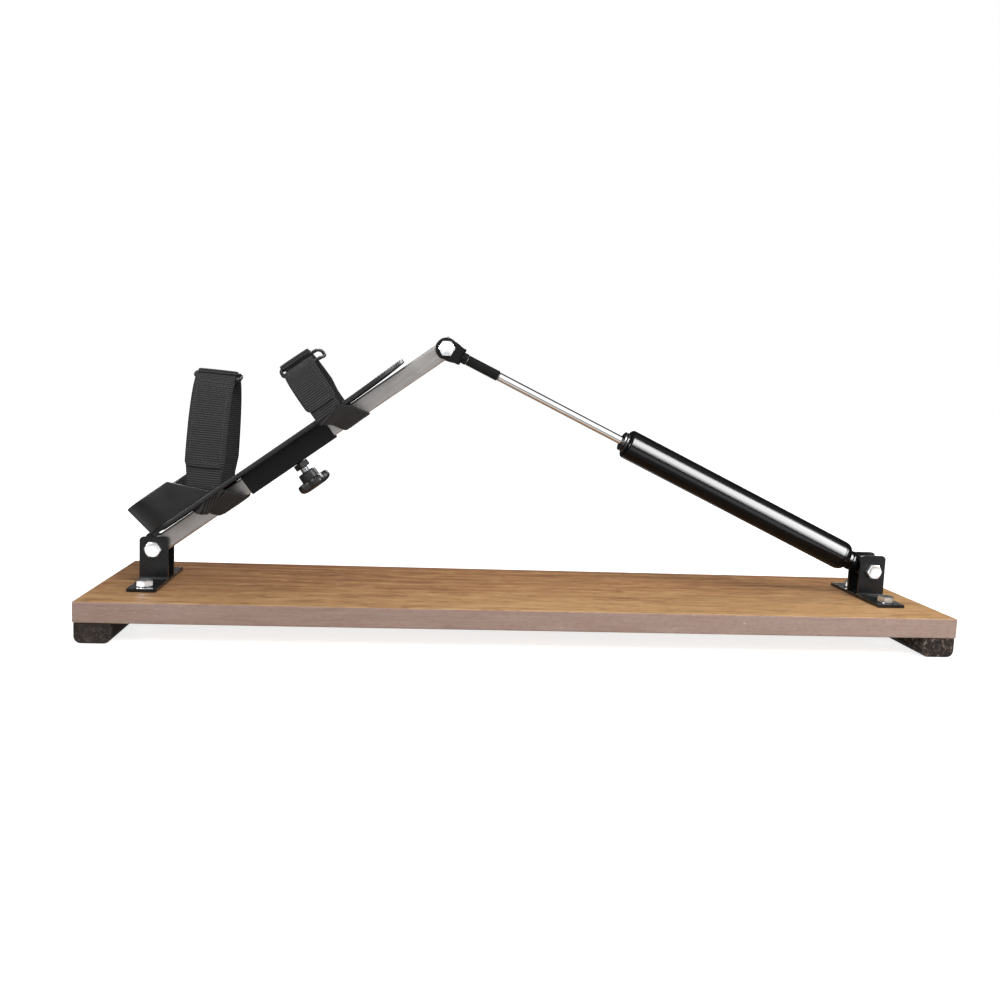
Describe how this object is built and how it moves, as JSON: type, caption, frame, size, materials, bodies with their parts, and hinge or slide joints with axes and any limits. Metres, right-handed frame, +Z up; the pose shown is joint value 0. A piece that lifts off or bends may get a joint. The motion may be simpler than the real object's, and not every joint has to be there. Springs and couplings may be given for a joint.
{
  "type": "ankle exerciser board",
  "caption": "Foot plate with heel cup and two straps on a hinged arm over a laminated board, held by a telescopic damper.",
  "frame": {"origin": "on the floor, below the middle of the board", "axes": "+X along the board towards the damper's foot, +Y to the back, +Z up"},
  "size_m": [0.762, 0.19, 0.2672],
  "materials": {
    "black_steel": "black powder coat, semi-gloss",
    "bare_steel": "drawn mild steel, lightly brushed",
    "chrome": "ground and hard chromed",
    "zinc": "bright zinc plate",
    "oak_laminate": "oak laminate over particle board, taupe edge band",
    "dark_wood": "dark stained, rough",
    "black_plastic": "moulded, satin",
    "nylon": "natural nylon",
    "rubber": "moulded seal rubber",
    "webbing": "black ribbed polyester webbing with hook and loop face"
  },
  "bodies": {
    "base": {"board": "oak_laminate", "cleat_heel_end": "dark_wood", "cleat_damper_end": "dark_wood", "bracket_heel_end": "black_steel", "bracket_damper_end": "black_steel", "arm_pivot_bolt": "zinc", "arm_pivot_nut": "zinc", "damper_pivot_bolt": "zinc", "damper_pivot_nut": "zinc", "cleat_screw_heel_front": "zinc", "cleat_screw_heel_back": "zinc", "cleat_screw_damper_front": "zinc", "cleat_screw_damper_back": "zinc", "flange_bolt_heel_front": "zinc", "flange_bolt_heel_back": "zinc", "flange_bolt_damper_front": "zinc", "flange_bolt_damper_back": "zinc", "under_washer_heel_front": "zinc", "under_washer_heel_back": "zinc", "under_washer_damper_front": "zinc", "under_washer_damper_back": "zinc", "flange_nut_heel_front": "zinc", "flange_nut_heel_back": "zinc", "flange_nut_damper_front": "zinc", "flange_nut_damper_back": "zinc"},
    "arm": {"arm_tube": "bare_steel", "arm_spacer_front": "nylon", "arm_spacer_back": "nylon"},
    "foot_carriage": {"slide_sleeve": "black_steel", "foot_plate": "black_steel", "heel_cup": "black_steel", "clamp_nut": "black_steel", "ankle_strap": "webbing", "ankle_ring": "black_steel", "toe_strap": "webbing", "toe_ring": "black_steel"},
    "clamp_stud": {"clamp_stud": "zinc"},
    "knob": {"clamp_knob": "black_plastic"},
    "damper_rod": {"damper_fork": "black_steel", "tip_pivot_bolt": "zinc", "tip_pivot_nut": "zinc", "rod_lock_nut": "black_steel", "rod_end_sleeve": "black_steel", "damper_rod": "chrome", "damper_piston": "bare_steel", "piston_seal": "rubber", "piston_nut": "zinc"},
    "damper_barrel": {"barrel_tube": "black_steel", "rod_gland": "black_steel", "rod_seal": "rubber", "barrel_eye": "black_steel", "eye_bush": "nylon"}
  },
  "joints": [
    {"name": "arm_swing", "type": "hinge", "parent": "base", "child": "arm", "pos_m": [-0.336, 0, 0.066], "axis": [0, -1, 0], "range_deg": [-25, 0]},
    {"name": "rod_swing", "type": "hinge", "parent": "arm", "child": "damper_rod", "pos_m": [-0.0795, 0, 0.256], "axis": [0, -1, 0], "range_deg": [-0.5, 39.77]},
    {"name": "barrel_travel", "type": "slide", "parent": "damper_rod", "child": "damper_barrel", "axis": [0.9073, 0, -0.4206], "range_m": [-0.0933, 0.0005]},
    {"name": "foot_slide", "type": "slide", "parent": "arm", "child": "foot_carriage", "axis": [0.8036, 0, 0.5952], "range_m": [0, 0.02]},
    {"name": "stud_travel", "type": "slide", "parent": "foot_carriage", "child": "clamp_stud", "axis": [0.5952, 0, -0.8036], "range_m": [0, 0.0026]},
    {"name": "knob_turn", "type": "hinge", "parent": "clamp_stud", "child": "knob", "pos_m": [-0.19761, 0, 0.13118], "axis": [0.5952, 0, -0.8036], "range_deg": [0, 720]}
  ],
  "couplings": [
    {"joint": "rod_swing", "follows": "arm_swing", "ratio": -1.5708},
    {"joint": "barrel_travel", "follows": "arm_swing", "m_per_rad": 0.21258},
    {"joint": "stud_travel", "follows": "knob_turn", "m_per_rad": 0.00019894}
  ]
}
